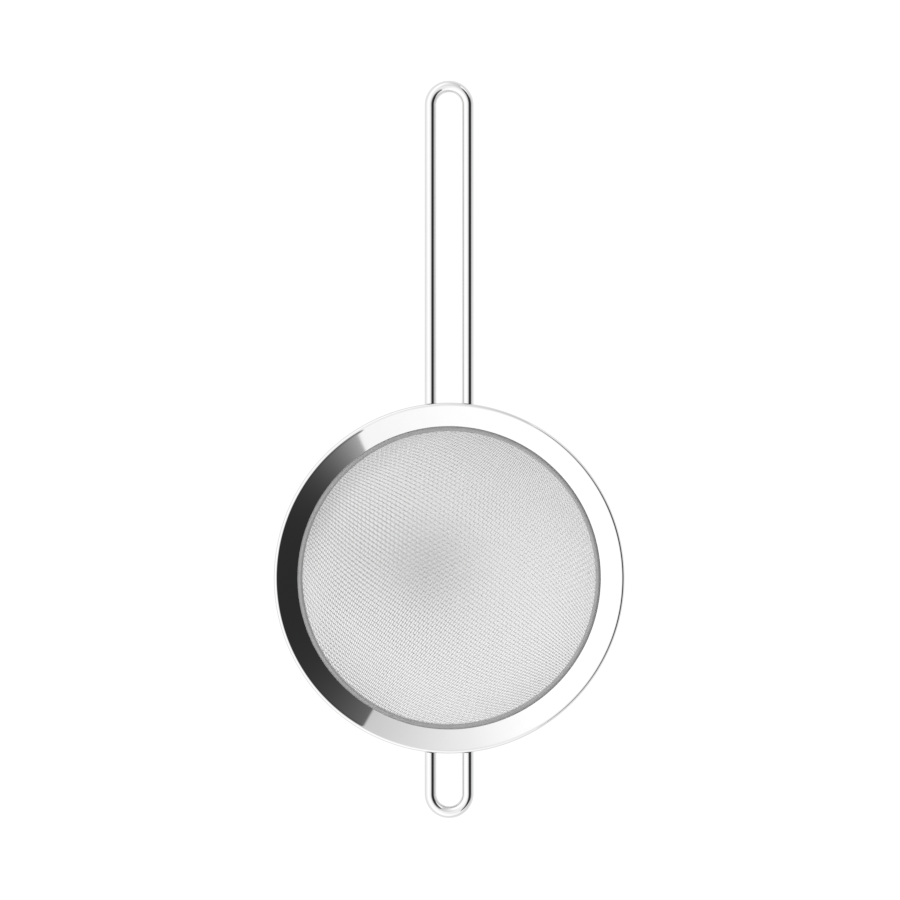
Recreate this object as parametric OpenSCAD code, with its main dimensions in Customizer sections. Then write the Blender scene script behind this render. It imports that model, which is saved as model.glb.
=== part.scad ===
// Hand-held tea strainer: a polished steel rim, a woven wire bowl clamped inside it,
// a long wire handle on one side and a short wire loop on the other that rests on the cup.
//
// Frame: +Z is up, out of the bowl's mouth. The origin is on the bowl's axis, in the plane
// that lies on the cup: the underside of the rim's skirt and of both wires.
// The handle runs along +Y and the rest loop along -Y.

/* [Rim] */
// Outer diameter of the rim
rim_d = 80; // [78:0.5:82]
// Height of the rim's top above the plane that lies on the cup
rim_h = 2.8; // [2.7:0.1:4]
// Thickness of the rim's steel sheet
sheet_t = 0.5; // [0.4:0.05:0.55]
// Slope of the funnel band that leads into the bowl, in degrees
band_slope = 24; // [15:1:26]
// Outside radius of the rounded lip between the band and the skirt
lip_r = 0.6; // [0.6:0.05:1]
// How far the collar reaches below the plane that lies on the cup
collar_depth = 3; // [2.5:0.25:5]

/* [Clamp ring] */
// Outer diameter of the clamp ring's bead, where the band ends
bead_d = 69; // [68:0.5:70]
// Width of the bead, seen from above
bead_w = 1; // [1:0.05:1.5]
// How far the bead laps over the band's inner edge
bead_lap = 0.1; // [0.05:0.05:0.2]
// Thickness of the ring's hoop, which presses the mesh against the collar
hoop_t = 0.4; // [0.3:0.05:0.5]

/* [Mesh bowl] */
// Depth of the bowl below the collar
bowl_depth = 26; // [16:1:32]
// Thickness of the woven mesh, which is one warp wire and one weft wire
mesh_t = 0.4; // [0.3:0.05:0.5]

/* [Wires] */
// Diameter of the handle's and the rest loop's wire
wire_d = 2.7; // [2:0.1:2.7]
// Distance between the centre lines of a loop's two legs
leg_gap = 8.5; // [7:0.5:14]
// Distance from the bowl's axis to the far end of the handle
handle_reach = 113.5; // [80:0.5:180]
// Distance from the bowl's axis to the far end of the rest loop
rest_reach = 54.8; // [52:0.2:70]

/* [Hidden] */
$fn = 96;

polished_steel = [0.86, 0.87, 0.88];
satin_steel = [0.62, 0.62, 0.63];
mesh_steel = [0.74, 0.74, 0.75];

rim_r = rim_d / 2;
wire_r = wire_d / 2;
leg_x = leg_gap / 2;
// How far a cutting or joining shape runs past the face it meets
overrun = 1;

// Centre of the lip's rounding, and the unit vector out of the band's top face
lip_centre = [rim_r - lip_r, rim_h - lip_r];
band_normal = [-sin(band_slope), cos(band_slope)];
// The band's top face is tangent to the lip at its outer end
band_end = lip_centre + lip_r * band_normal;
// Height of the band's top face at a radius, and its sheet's thickness measured straight down
function band_z(r) = band_end[1] - (band_end[0] - r) * tan(band_slope);
band_drop = sheet_t / cos(band_slope);

// Radii from the outside in: collar, mesh hem, hoop
bead_r = bead_d / 2;
hem_outer_r = bead_r - bead_lap;
hem_inner_r = hem_outer_r - mesh_t;
hoop_inner_r = hem_inner_r - hoop_t;
// Underside of the bead, which sits on the band's inner edge
bead_z = band_z(bead_r);

// The bowl is part of a sphere. Its middle surface meets the hem at the collar's lower edge.
hem_mid_r = (hem_outer_r + hem_inner_r) / 2;
bowl_r = (pow(hem_mid_r, 2) + pow(bowl_depth, 2)) / (2 * bowl_depth);
bowl_rise = bowl_r - bowl_depth;

// Area between the axis side of the band and the skirt, under a line that runs inside the
// rim's top face at the given distance
module under_rim(inset) {
    left_x = hem_outer_r - inset;
    bottom_z = -collar_depth - inset;
    translate(lip_centre)
        circle(r = lip_r - inset);
    polygon([
        [left_x, bottom_z],
        [rim_r - inset, bottom_z],
        [rim_r - inset, lip_centre[1]],
        lip_centre + (lip_r - inset) * band_normal,
        [left_x, band_z(left_x) - inset / cos(band_slope)]
    ]);
}

// Cross-section of the spun rim
module rim_profile() {
    // Collar
    translate([hem_outer_r, -collar_depth])
        square([sheet_t, collar_depth + band_z(hem_outer_r) - band_drop / 2]);
    // Funnel band, rounded lip and skirt
    difference() {
        under_rim(0);
        under_rim(sheet_t);
        // The skirt ends at the plane that lies on the cup
        translate([rim_r - sheet_t - overrun, -collar_depth - overrun])
            square([sheet_t + 2 * overrun, collar_depth + overrun]);
    }
}

module rim_flange() {
    color(polished_steel)
        rotate_extrude()
            rim_profile();
}

// Half-round bead over the mesh's cut edge, and a hoop that holds the mesh to the collar
module clamp_ring() {
    bead_half = bead_w / 2;
    color(satin_steel)
        rotate_extrude() {
            translate([bead_r - bead_half, bead_z])
                intersection() {
                    circle(r = bead_half);
                    translate([-bead_half, 0])
                        square([bead_w, bead_half]);
                }
            translate([hoop_inner_r, -collar_depth])
                square([hoop_t, collar_depth + bead_z + bead_half / 2]);
        }
}

// What a bowl with a hem of the given radius holds, up to the given height. The sphere is
// wider than the hem above the collar's lower edge, so there the hem's cylinder bounds it.
module bowl_filling(hem_r, top_z) {
    lowest_z = -collar_depth - bowl_depth - overrun;
    intersection() {
        translate([0, 0, bowl_rise - collar_depth])
            sphere(r = norm([hem_r, bowl_rise]));
        translate([0, 0, lowest_z])
            cylinder(r = hem_r, h = top_z - lowest_z);
    }
}

// Woven mesh as one closed skin of the weave's thickness: upright hem and round bowl
module mesh_bowl() {
    color(mesh_steel)
        difference() {
            bowl_filling(hem_outer_r, bead_z);
            bowl_filling(hem_inner_r, bead_z + overrun);
        }
}

// Wire bent into a U along +Y: a half-circle end and two legs butt-welded to the rim's skirt
module wire_loop(reach) {
    bend_y = reach - wire_r - leg_x;
    // Inside the skirt, at the legs' outer sides
    root_y = sqrt(pow(rim_r, 2) - pow(leg_x + wire_r, 2)) - overrun;
    translate([0, 0, wire_r])
        difference() {
            union() {
                for (side = [-1, 1])
                    translate([side * leg_x, root_y, 0])
                        rotate([-90, 0, 0])
                            cylinder(r = wire_r, h = bend_y - root_y);
                translate([0, bend_y, 0])
                    rotate_extrude(angle = 180)
                        translate([leg_x, 0])
                            circle(r = wire_r);
            }
            // The legs' ends fit the skirt's outside
            cylinder(r = rim_r, h = 2 * wire_d, center = true);
        }
}

module handle_wire() {
    color(polished_steel)
        wire_loop(handle_reach);
}

module rest_loop() {
    color(polished_steel)
        rotate([0, 0, 180])
            wire_loop(rest_reach);
}

rim_flange();
clamp_ring();
mesh_bowl();
handle_wire();
rest_loop();
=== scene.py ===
"""A hand-held tea strainer seen from straight above, on a plain white table."""
import math

import bpy
import numpy as np
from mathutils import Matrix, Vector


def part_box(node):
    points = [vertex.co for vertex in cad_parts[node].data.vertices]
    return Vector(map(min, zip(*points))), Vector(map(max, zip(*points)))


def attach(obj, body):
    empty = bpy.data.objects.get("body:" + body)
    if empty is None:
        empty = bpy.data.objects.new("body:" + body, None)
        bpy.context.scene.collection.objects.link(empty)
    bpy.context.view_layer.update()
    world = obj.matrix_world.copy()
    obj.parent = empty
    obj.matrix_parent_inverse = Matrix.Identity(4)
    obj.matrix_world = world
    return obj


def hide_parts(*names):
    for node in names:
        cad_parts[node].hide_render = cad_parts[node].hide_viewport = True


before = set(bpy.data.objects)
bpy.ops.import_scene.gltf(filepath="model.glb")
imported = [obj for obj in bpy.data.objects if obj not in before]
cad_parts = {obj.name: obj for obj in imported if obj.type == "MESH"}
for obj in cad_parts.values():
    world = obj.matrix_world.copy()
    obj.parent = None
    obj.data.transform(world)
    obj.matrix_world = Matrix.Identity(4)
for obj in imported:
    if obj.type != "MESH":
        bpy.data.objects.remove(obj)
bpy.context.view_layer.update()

MM = 0.001

# ---------------------------------------------------------------- sizes, in metres, from the frame
rim_low, rim_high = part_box("rim_flange")
_, ring_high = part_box("clamp_ring")
bowl_low, bowl_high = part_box("mesh_bowl")
handle_low, handle_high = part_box("handle_wire")
rest_low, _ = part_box("rest_loop")

RIM_R = rim_high[0]
RIM_TOP = rim_high[2]
COLLAR_BOTTOM = rim_low[2]
BEAD_R = ring_high[0]
HEM_R = bowl_high[0]
HEM_TOP = bowl_high[2]
BEAD_HALF = ring_high[2] - HEM_TOP
BOWL_BOTTOM = bowl_low[2]
WIRE_R = (handle_high[2] - handle_low[2]) / 2
LEG_X = handle_high[0] - WIRE_R
HANDLE_REACH = handle_high[1]
REST_REACH = -rest_low[1]

# Details that the boxes don't give, as the CAD model has them
SHEET = 0.5 * MM
LIP_R = 0.6 * MM
BAND_SLOPE = math.radians(24)
HOOP_INSET = 0.5 * MM
HOOP_T = 0.4 * MM
MESH_T = 0.4 * MM

# Share of the light that bare steel reflects. The studio is brighter by as much, so that polished
# steel shows the studio's own levels.
STEEL_REFLECTS = 0.72


# ---------------------------------------------------------------- mesh helpers
def new_piece(name, vertices, faces, material, sharp_degrees=35):
    """A smooth-shaded mesh object that rides on the strainer's one body."""
    mesh = bpy.data.meshes.new(name)
    mesh.from_pydata(vertices, [], faces)
    mesh.validate()
    for polygon in mesh.polygons:
        polygon.use_smooth = True
    mesh.set_sharp_from_angle(angle=math.radians(sharp_degrees))
    mesh.materials.append(material)
    piece = bpy.data.objects.new(name, mesh)
    bpy.context.scene.collection.objects.link(piece)
    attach(piece, "root")
    return piece


def arc(centre, radius, start, end, steps):
    """Points on an arc, angles in degrees, as (radius, height) pairs."""
    angles = np.radians(np.linspace(start, end, steps + 1))
    return [(centre[0] + radius * math.cos(a), centre[1] + radius * math.sin(a)) for a in angles]


def lathe(name, outline, material, turns=512):
    """Turns a closed outline of (radius, height) points about the Z axis."""
    count = len(outline)
    vertices = []
    faces = []
    for turn in range(turns):
        angle = 2 * math.pi * turn / turns
        c, s = math.cos(angle), math.sin(angle)
        vertices += [(r * c, r * s, z) for r, z in outline]
        here, there = turn * count, (turn + 1) % turns * count
        for k in range(count):
            after = (k + 1) % count
            faces.append((here + k, here + after, there + after, there + k))
    return new_piece(name, vertices, faces, material)


# ---------------------------------------------------------------- node helpers
class Nodes:
    """Adds shader nodes to a tree, each wired up in one call."""

    def __init__(self, tree):
        self.tree = tree

    def add(self, kind, inputs=(), **settings):
        """A new node, with its inputs given by name or by number."""
        node = self.tree.nodes.new(kind)
        for key, value in settings.items():
            setattr(node, key, value)
        for key, value in dict(inputs).items():
            self.feed(node, key, value)
        return node

    def feed(self, node, key, value):
        """Sets an input, or links it where the value is another node's output."""
        if isinstance(value, bpy.types.NodeSocket):
            self.tree.links.new(value, node.inputs[key])
        else:
            node.inputs[key].default_value = value

    def math(self, operation, *values):
        return self.add("ShaderNodeMath", enumerate(values), operation=operation).outputs[0]

    def ramp(self, value, low, high, to_low=0.0, to_high=1.0):
        """Smooth step of a value from one range to another."""
        inputs = {"Value": value, "From Min": low, "From Max": high, "To Min": to_low, "To Max": to_high}
        return self.add("ShaderNodeMapRange", inputs, interpolation_type="SMOOTHSTEP").outputs[0]

    def blend(self, none, full, share):
        """One value where the share is 0, another where it is 1."""
        return self.math("MULTIPLY_ADD", self.math("SUBTRACT", full, none), share, none)

    def mix(self, none, full, share):
        """One colour where the share is 0, another where it is 1."""
        return self.add("ShaderNodeMixRGB", {"Fac": share, "Color1": none, "Color2": full}).outputs[0]

    def xyz(self, vector):
        return self.add("ShaderNodeSeparateXYZ", {0: vector}).outputs

    def distance(self, place, centre):
        inputs = {0: place, 1: centre}
        return self.add("ShaderNodeVectorMath", inputs, operation="DISTANCE").outputs["Value"]


def grey(level):
    """An opaque grey."""
    return (level, level, level, 1)


# ---------------------------------------------------------------- steel
def steel(name, reflects, roughness, wear, grain, bump=0.0, polished_below=None):
    """Bare stainless steel. wear is how far the roughness wanders, grain the size of its marks.

    Below the height polished_below, the steel is polished instead.
    """
    patch = 12.5 * grain  # size of the larger, fainter marks
    patch_reflects = 0.96 * reflects
    polish = 0.2  # share of the roughness that polishing leaves
    material = bpy.data.materials.new(name)
    material.use_nodes = True
    n = Nodes(material.node_tree)
    shader = material.node_tree.nodes["Principled BSDF"]
    shader.inputs["Metallic"].default_value = 1.0
    place = n.add("ShaderNodeTexCoord").outputs["Object"]
    marks = n.add("ShaderNodeTexNoise", {"Vector": place, "Scale": 1 / grain, "Detail": 4.0}).outputs[0]
    patches = n.add("ShaderNodeTexNoise", {"Vector": place, "Scale": 1 / patch, "Detail": 2.0}).outputs[0]
    finish = n.math("MULTIPLY_ADD", n.math("MULTIPLY", marks, patches), wear, roughness)
    shade = n.mix(grey(reflects), grey(patch_reflects), patches)
    if polished_below is not None:
        edge = 0.02 * MM
        dull = n.ramp(n.xyz(place)[2], polished_below - edge, polished_below + edge)
        finish = n.math("MULTIPLY", finish, n.blend(polish, 1.0, dull))
        shade = n.mix(grey(STEEL_REFLECTS), shade, dull)
    n.feed(shader, "Roughness", finish)
    n.feed(shader, "Base Color", shade)
    relief = n.add("ShaderNodeBump", {"Height": marks, "Strength": 1.0, "Distance": bump})
    n.feed(shader, "Normal", relief.outputs[0])
    return material


polished = steel("polished_steel", STEEL_REFLECTS, roughness=0.02, wear=0.05, grain=0.4 * MM)
satin = steel("satin_steel", 0.51, roughness=0.75, wear=0.2, grain=0.15 * MM, bump=0.004 * MM,
              polished_below=HEM_TOP)
drawn = steel("drawn_wire", 0.76, roughness=0.19, wear=0.1, grain=0.1 * MM)


# ---------------------------------------------------------------- rim and clamp ring
def rim_outline():
    """Cross-section of the spun rim, from the collar's foot over the lip and back underneath."""
    lip = (RIM_R - LIP_R, RIM_TOP - LIP_R)
    normal = 90 + math.degrees(BAND_SLOPE)
    over_lip = arc(lip, LIP_R, normal, 0, steps=20)
    under_lip = arc(lip, LIP_R - SHEET, 0, normal, steps=8)
    skirt_levels = 5
    collar_r = HEM_R + SHEET

    def slope(inner_r, end, steps=12):
        """Points up the band's slope, from a radius to just short of the slope's upper end."""
        run = end[0] - inner_r
        rise = run * math.tan(BAND_SLOPE)
        return [(inner_r + t * run, end[1] - (1 - t) * rise) for t in np.arange(steps) / steps]

    return (
        [(HEM_R, COLLAR_BOTTOM), (HEM_R, COLLAR_BOTTOM / 2)]
        + slope(HEM_R, over_lip[0])
        + over_lip
        + [(RIM_R, z) for z in np.linspace(lip[1], 0, skirt_levels)[1:]]
        + [(RIM_R - SHEET, z) for z in np.linspace(0, lip[1], skirt_levels)[:-1]]
        + under_lip
        + slope(collar_r, under_lip[-1])[::-1]
        + [(collar_r, COLLAR_BOTTOM)]
    )


def ring_outline():
    """Cross-section of the clamp ring: half-round bead above, hoop below."""
    bead = (BEAD_R - BEAD_HALF, HEM_TOP)
    outer = BEAD_R - HOOP_INSET
    inner = outer - HOOP_T
    return (
        arc(bead, BEAD_HALF, 180, 0, steps=24)
        + [(outer, HEM_TOP), (outer, COLLAR_BOTTOM), (inner, COLLAR_BOTTOM), (inner, HEM_TOP)]
    )


rim = lathe("rim", rim_outline(), polished)
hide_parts("rim_flange")

clamp_ring = lathe("mesh_clamp_ring", ring_outline(), satin)
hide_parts("clamp_ring")


# ---------------------------------------------------------------- bent wires
def wire_loop(name, reach, direction, material, sides=40, leg_rings=23, bend_rings=65):
    """A wire bent into a U along +Y or -Y, its two ends shaped to the rim's skirt."""
    bend_y = reach - WIRE_R - LEG_X
    clear_of_rim = RIM_R + 1 * MM
    around = np.radians(np.arange(sides) * 360 / sides)

    def ring(centre_x, centre_y, angle):
        """Ring of points about a centre, in the plane across the wire at this angle of the bend."""
        out = WIRE_R * np.cos(around)
        up = WIRE_R * np.sin(around)
        return np.stack([centre_x + out * math.cos(angle), centre_y + out * math.sin(angle), WIRE_R + up], 1)

    def leg(side, angle):
        """Rings from the rim to the bend. The first one lies on the skirt."""
        root = ring(side * LEG_X, 0, angle)
        root[:, 1] = np.sqrt(RIM_R ** 2 - root[:, 0] ** 2)
        along = np.linspace(clear_of_rim, bend_y, leg_rings + 1)[:-1]
        return [root] + [ring(side * LEG_X, y, angle) for y in along]

    turn = np.radians(np.linspace(0, 180, bend_rings))
    bend = [ring(LEG_X * math.cos(a), bend_y + LEG_X * math.sin(a), a) for a in turn]
    rings = leg(1, 0) + bend + leg(-1, math.pi)[::-1]
    points = np.concatenate(rings)
    points[:, :2] *= direction
    faces = []
    for here in range(0, (len(rings) - 1) * sides, sides):
        there = here + sides
        for s in range(sides):
            t = (s + 1) % sides
            faces.append((here + s, there + s, there + t, here + t))
    last = (len(rings) - 1) * sides
    faces.append(tuple(range(sides)))
    faces.append(tuple(range(last, last + sides))[::-1])
    return new_piece(name, points.tolist(), faces, material)


handle = wire_loop("handle", HANDLE_REACH, 1, polished)
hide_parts("handle_wire")

rest = wire_loop("cup_rest_loop", REST_REACH, -1, polished)
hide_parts("rest_loop")


# ---------------------------------------------------------------- woven mesh
# The cloth is woven flat and pressed into a bowl. Its wires keep their spacing at the bottom, and
# crowd together towards the edge. Warp and weft cross at right angles at the bottom. Places in
# the cloth and in the bowl, (u, v), count in radii of the hem: u runs across the warp wires, and
# v along them.
WARP_PITCH = 0.97 * MM
WEFT_PITCH = 0.60 * MM
WARP_D = 0.21 * MM
WEFT_D = 0.18 * MM
WARP_ANGLE = math.radians(56)  # from +X to the line that crosses the warp wires squarely
CROWDING = 0.58  # seen from above, the pitch at radius r is 1 / (1 + CROWDING r^4) of the flat one
OFF_X, OFF_Y = -1.3 * MM, 1.3 * MM  # where the cloth's middle lies, off the bowl's axis
LEVEL_RUN = 0.23  # share of a pitch that a wire runs level on each side of a crossing
EDGE = 0.998  # how far out a wire follows the bowl before it turns up into the hem
CLOTH_HALF = 1.5  # half the width of the flat cloth
CUT_AWAY = 1.48  # no wire of the bowl reaches further out than this in the flat cloth
HEM_FOOT = 0.2 * MM  # where a wire's upright end begins, above the collar's lower edge
HEM_RUN = 1.2 * MM  # how high it stands
WEAVE_LIFT = (WARP_D + WEFT_D) / 4  # half the distance between two wires' centres at a crossing
FEWEST_CROSSINGS = 3  # wires with fewer of them in the bowl are left out
HEM_MID = HEM_R - MESH_T / 2
BOWL_DEPTH = COLLAR_BOTTOM - (BOWL_BOTTOM + MESH_T / 2)
BOWL_R = (HEM_MID ** 2 + BOWL_DEPTH ** 2) / (2 * BOWL_DEPTH)
BOWL_CENTRE = COLLAR_BOTTOM - BOWL_DEPTH + BOWL_R


def crowded(a, b):
    """Where in the flat cloth a wire lies that is pressed to a, at the place b along it."""
    return a + CROWDING * (a ** 5 / 5 + 2 * a ** 3 * b ** 2 / 3 + a * b ** 4)


def crossings(across, along, rounds=60, largest_step=0.1):
    """Where the pressed wires cross, from their places in the flat cloth, by Newton's method."""
    flat_r = np.hypot(across, along)
    first_guess = 1 / (1 + 0.25 * flat_r)
    u, v = across * first_guess, along * first_guess
    for _ in range(rounds):
        slope = 1 + CROWDING * (u ** 2 + v ** 2) ** 2
        cross_u = CROWDING * (4 * u ** 3 * v / 3 + 4 * u * v ** 3)
        cross_v = CROWDING * (4 * v ** 3 * u / 3 + 4 * v * u ** 3)
        off_u, off_v = crowded(u, v) - across, crowded(v, u) - along
        det = slope ** 2 - cross_u * cross_v
        u -= np.clip((slope * off_u - cross_u * off_v) / det, -largest_step, largest_step)
        v -= np.clip((slope * off_v - cross_v * off_u) / det, -largest_step, largest_step)
    # Crossings that no wire reaches stay at their flat places, well outside the bowl
    past = flat_r > CUT_AWAY
    return np.where(past, across, u), np.where(past, along, v)


def on_bowl(u, v, lift):
    """Points lifted off the bowl's middle surface, and the surface's normals, towards its centre."""
    x = HEM_MID * (u * math.cos(WARP_ANGLE) + v * math.sin(WARP_ANGLE))
    y = HEM_MID * (u * math.sin(WARP_ANGLE) - v * math.cos(WARP_ANGLE))
    down = np.sqrt(BOWL_R ** 2 - x ** 2 - y ** 2)
    normal = np.stack([-x, -y, down], -1) / BOWL_R
    point = np.stack([x, y, BOWL_CENTRE - down], -1)
    return point + lift[..., None] * normal, normal


def with_hem(points, normals):
    """Adds each end's short upright run, which the hoop presses against the collar."""
    runs = []
    for end in (points[0], points[-1]):
        out = np.array([end[0], end[1], 0]) / math.hypot(end[0], end[1])
        foot = HEM_MID * out + np.array([0, 0, COLLAR_BOTTOM + HEM_FOOT])
        runs.append((np.array([foot, foot + np.array([0, 0, HEM_RUN])]), np.array([-out, -out])))
    points = np.concatenate([runs[0][0][::-1], points, runs[1][0]])
    normals = np.concatenate([runs[0][1], normals, runs[1][1]])
    return points, normals


def wire_tube(points, normals, radius, first_vertex, sides=5):
    """Vertices and faces of one closed wire, whose first vertex has the given number."""
    ahead = np.gradient(points, axis=0)
    ahead /= np.linalg.norm(ahead, axis=1)[:, None]
    beside = np.cross(ahead, normals)
    beside /= np.linalg.norm(beside, axis=1)[:, None]
    above = np.cross(beside, ahead)
    angles = 2 * math.pi * np.arange(sides) / sides
    vertices = points[:, None] + radius * (
        np.cos(angles)[None, :, None] * above[:, None] + np.sin(angles)[None, :, None] * beside[:, None]
    )
    ring = first_vertex + np.arange(len(points) - 1)[:, None] * sides
    side = np.arange(sides)[None, :]
    after = (side + 1) % sides
    faces = np.stack([ring + side, ring + after, ring + sides + after, ring + sides + side], -1)
    last = first_vertex + (len(points) - 1) * sides
    start_cap = list(range(first_vertex, first_vertex + sides))[::-1]
    end_cap = list(range(last, last + sides))
    return vertices.reshape(-1, 3), faces.reshape(-1, 4).tolist() + [start_cap, end_cap]


def two_between(places):
    """Two places between each crossing and the next, so that a wire runs level over its neighbours."""
    run = LEVEL_RUN * (places[1:] - places[:-1])
    return np.stack([places[:-1] + run, places[1:] - run], 1).ravel()


def weave_set(u, v, over, diameter):
    """All the wires of one set. Row i of u, v and over holds the crossings along wire i."""
    vertices, faces, count = [], [], 0
    for row_u, row_v, row_over in zip(u, v, over):
        inside = np.flatnonzero(np.hypot(row_u, row_v) < EDGE)
        if len(inside) < FEWEST_CROSSINGS:
            continue
        span = slice(max(inside[0] - 1, 0), inside[-1] + 2)
        a, b, side = row_u[span], row_v[span], row_over[span]
        path_a, path_b = two_between(a), two_between(b)
        lift = WEAVE_LIFT * np.stack([side[:-1], side[1:]], 1).ravel()
        keep = np.hypot(path_a, path_b) < EDGE
        points, normals = with_hem(*on_bowl(path_a[keep], path_b[keep], lift[keep]))
        tube_vertices, tube_faces = wire_tube(points, normals, diameter / 2, count)
        vertices.append(tube_vertices)
        faces += tube_faces
        count += len(tube_vertices)
    return np.concatenate(vertices).tolist(), faces


def flat_places(pitch):
    """Places of one set's wires in the flat cloth."""
    half = int(CLOTH_HALF * HEM_MID / pitch)
    return (np.arange(-half, half) + 0.5) * pitch / HEM_MID


warp_places, weft_places = flat_places(WARP_PITCH), flat_places(WEFT_PITCH)
grid_u, grid_v = crossings(*np.meshgrid(warp_places, weft_places, indexing="ij"))
grid_u += (OFF_X * math.cos(WARP_ANGLE) + OFF_Y * math.sin(WARP_ANGLE)) / HEM_MID
grid_v += (OFF_X * math.sin(WARP_ANGLE) - OFF_Y * math.cos(WARP_ANGLE)) / HEM_MID
parity = np.add.outer(np.arange(len(warp_places)), np.arange(len(weft_places))) % 2
warp_over = np.where(parity, 1.0, -1.0)

warp_set = weave_set(grid_u, grid_v, warp_over, WARP_D)
warp = new_piece("mesh_warp_wires", *warp_set, drawn, sharp_degrees=80)
weft_set = weave_set(grid_u.T, grid_v.T, -warp_over.T, WEFT_D)
weft = new_piece("mesh_weft_wires", *weft_set, drawn, sharp_degrees=80)
for wires in (warp, weft):
    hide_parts("mesh_bowl")


# ---------------------------------------------------------------- table
def table():
    """A wide white table that glows, dimmer in a soft painted shade and painted shadow under the bowl."""
    half = 6.0
    gap = 0.02 * MM
    open_glow = 0.93
    middle_glow = 0.725
    outward_gain = 0.09  # from the axis to the rim
    tilt = 0.10  # from the axis to the rim on the -Y side
    rest_dip = 0.13
    shadow_dip = 0.25
    corners = [(-half, -half, 0), (half, -half, 0), (half, half, 0), (-half, half, 0)]
    mesh = bpy.data.meshes.new("table")
    mesh.from_pydata(corners, [], [(0, 1, 2, 3)])
    material = bpy.data.materials.new("white_table")
    material.use_nodes = True
    n = Nodes(material.node_tree)
    shader = material.node_tree.nodes["Principled BSDF"]
    shader.inputs["Base Color"].default_value = grey(0.12)
    shader.inputs["Roughness"].default_value = 0.9
    shader.inputs["Specular IOR Level"].default_value = 0.0
    shader.inputs["Emission Color"].default_value = grey(1)
    place = n.add("ShaderNodeTexCoord").outputs["Object"]
    from_axis = n.distance(place, (0, 0, 0))
    # The painted shade in the glow lightens outwards and towards -Y
    outward = n.math("POWER", from_axis, 2.0)
    shade = n.math("MULTIPLY_ADD", outward, outward_gain / RIM_R ** 2, middle_glow)
    shade = n.math("MULTIPLY_ADD", n.xyz(place)[1], -tilt / RIM_R, shade)
    # The painted shade is deepest close to where the bowl rests
    from_rest = n.distance(place, (-0.12 * RIM_R, 0.06 * RIM_R, 0))
    shade = n.math("SUBTRACT", shade, n.ramp(from_rest, 0.0, 0.4 * RIM_R, rest_dip, 0.0))
    # The rim's painted shadow lies on the -X +Y side
    from_light = n.distance(place, (0.35 * RIM_R, -0.35 * RIM_R, 0))
    shadow = n.ramp(from_light, 1.18 * RIM_R, 1.36 * RIM_R, 0.0, shadow_dip)
    shade = n.math("SUBTRACT", shade, shadow)
    in_the_open = n.ramp(from_axis, 0.86 * RIM_R, 1.04 * RIM_R)
    n.feed(shader, "Emission Strength", n.blend(shade, open_glow, in_the_open))
    mesh.materials.append(material)
    floor = bpy.data.objects.new("table", mesh)
    floor.location = (0, 0, BOWL_BOTTOM - gap)
    bpy.context.scene.collection.objects.link(floor)


# ---------------------------------------------------------------- studio
# Directions overhead are told by over_x and over_y: where a line in that direction meets a level
# plane one unit up.
def white_surroundings(n, over_x, over_y):
    """Level of the white surroundings, which get dimmer towards +X, most of all on the +Y side."""
    brightest, dimmest = 1.06, 0.58
    start_x, start_level = -0.6, 1.08
    dimming = n.ramp(over_y, -0.4, 0.5, to_low=-0.13, to_high=-0.45)
    level = n.math("MULTIPLY_ADD", n.math("SUBTRACT", over_x, start_x), dimming, start_level)
    level = n.math("MAXIMUM", n.math("MINIMUM", level, brightest), dimmest)
    # A little dimmer again far out on the -X side
    return n.math("MULTIPLY", level, n.ramp(over_x, -1.8, -1.2, to_low=0.87, to_high=1.0))


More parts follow.
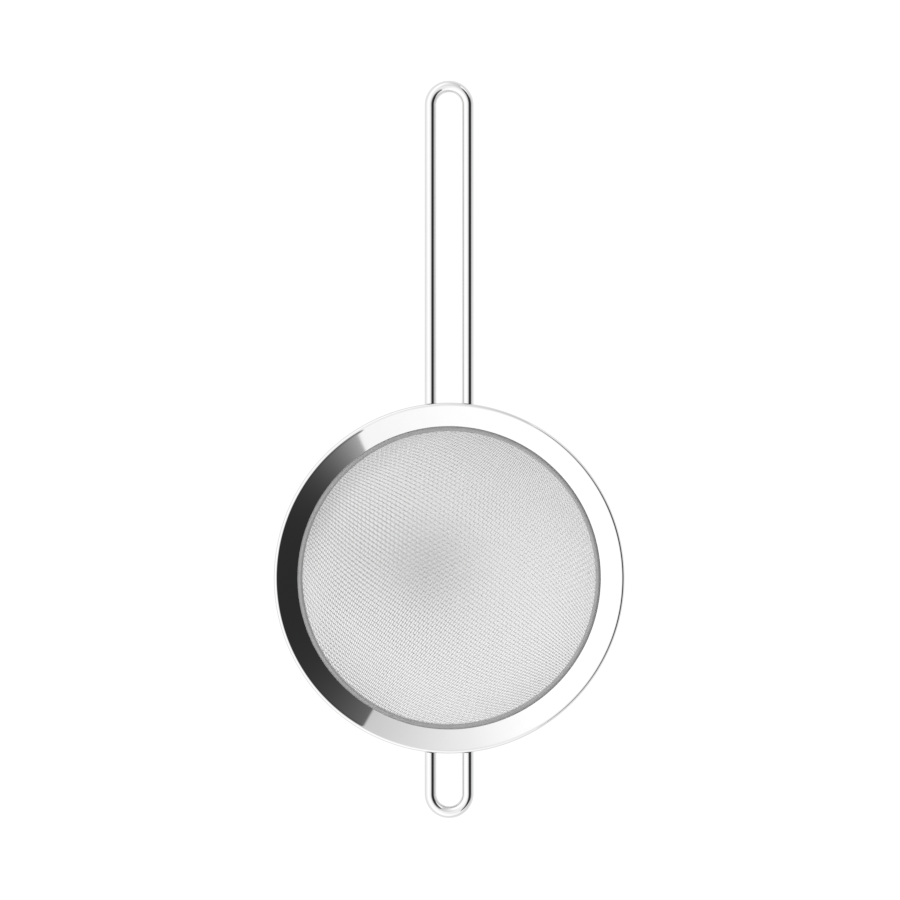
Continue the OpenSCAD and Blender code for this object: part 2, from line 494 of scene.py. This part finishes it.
def panel_cover(n, over_x, over_y):
    """Share of the surroundings that the dark panel hides in each direction."""
    # It fades in from the -X side, at first faintly
    faint_start = n.ramp(over_x, -1.0, -0.1, to_low=1.0, to_high=0.75)
    full_start = n.ramp(over_x, 0.08, 0.52, to_low=1.0, to_high=0.0)
    cover = n.math("SUBTRACT", 1.0, n.math("MULTIPLY", faint_start, full_start))
    # Its +X and -Y ends are square, and its two sides slant apart from a point near the zenith
    far_end = n.ramp(over_x, 2.65, 2.45)
    low_end = n.ramp(over_y, -0.926, -0.914)
    low_side = n.ramp(n.math("MULTIPLY_ADD", over_x, 2.1, over_y), 0.1, 0.16)
    high_side = n.ramp(n.math("MULTIPLY_ADD", over_x, -2.0, over_y), -0.164, -0.204)
    # Right overhead the slanting sides are only half as strong
    overhead = n.ramp(n.math("ABSOLUTE", over_y), 0.45, 0.75, to_low=0.5, to_high=0.0)
    low_side = n.math("MAXIMUM", low_side, overhead)
    high_side = n.math("MAXIMUM", high_side, overhead)
    for edge in (far_end, low_end, low_side, high_side):
        cover = n.math("MULTIPLY", cover, edge)
    return cover


def panel_level(n, over_y, darkest=0.024):
    """Level of the dark panel itself, onto which light spills from the +Y and the -Y side."""
    level = darkest
    for edge, reach, strength in ((0.806, 0.128, 0.11), (-0.92, -0.108, 0.37)):
        spill = n.math("EXPONENT", n.math("MULTIPLY_ADD", over_y, 1 / reach, -edge / reach))
        level = n.math("MULTIPLY_ADD", spill, strength, level)
    return n.math("MINIMUM", level, 1.0)


def studio():
    """White surroundings, with one dark panel overhead on the +X side, as in a photo studio."""
    world = bpy.data.worlds.new("studio")
    bpy.context.scene.world = world
    world.use_nodes = True
    n = Nodes(world.node_tree)
    x, y, z = n.xyz(n.add("ShaderNodeTexCoord").outputs["Generated"])
    height = n.math("MAXIMUM", z, 0.02)
    over_x = n.math("DIVIDE", x, height)
    over_y = n.math("DIVIDE", y, height)
    around = white_surroundings(n, over_x, over_y)
    overhead = n.blend(around, panel_level(n, over_y), panel_cover(n, over_x, over_y))
    # Near the horizon there is only a plain backdrop, a little dimmer towards +X
    backdrop = n.math("MULTIPLY_ADD", x, -0.17, 0.7)
    level = n.blend(backdrop, overhead, n.ramp(z, 0.12, 0.34))
    shade = n.add("ShaderNodeCombineColor", {0: level, 1: level, 2: level}).outputs[0]
    background = world.node_tree.nodes["Background"]
    n.feed(background, "Color", shade)
    background.inputs["Strength"].default_value = 1 / STEEL_REFLECTS


# ---------------------------------------------------------------- camera
def camera():
    """Straight overhead. The handle points to the top of the picture."""
    height = 0.76
    view_width = 0.205
    aim_x, aim_y = 0.0002, 0.0292
    data = bpy.data.cameras.new("camera")
    data.sensor_fit = "HORIZONTAL"
    data.angle = 2 * math.atan(view_width / 2 / height)
    data.clip_start = 0.01
    shot = bpy.data.objects.new("camera", data)
    shot.location = (aim_x, aim_y, RIM_TOP + height)
    bpy.context.scene.collection.objects.link(shot)
    bpy.context.scene.camera = shot


table()
studio()
camera()
bpy.context.scene.view_settings.view_transform = "Standard"
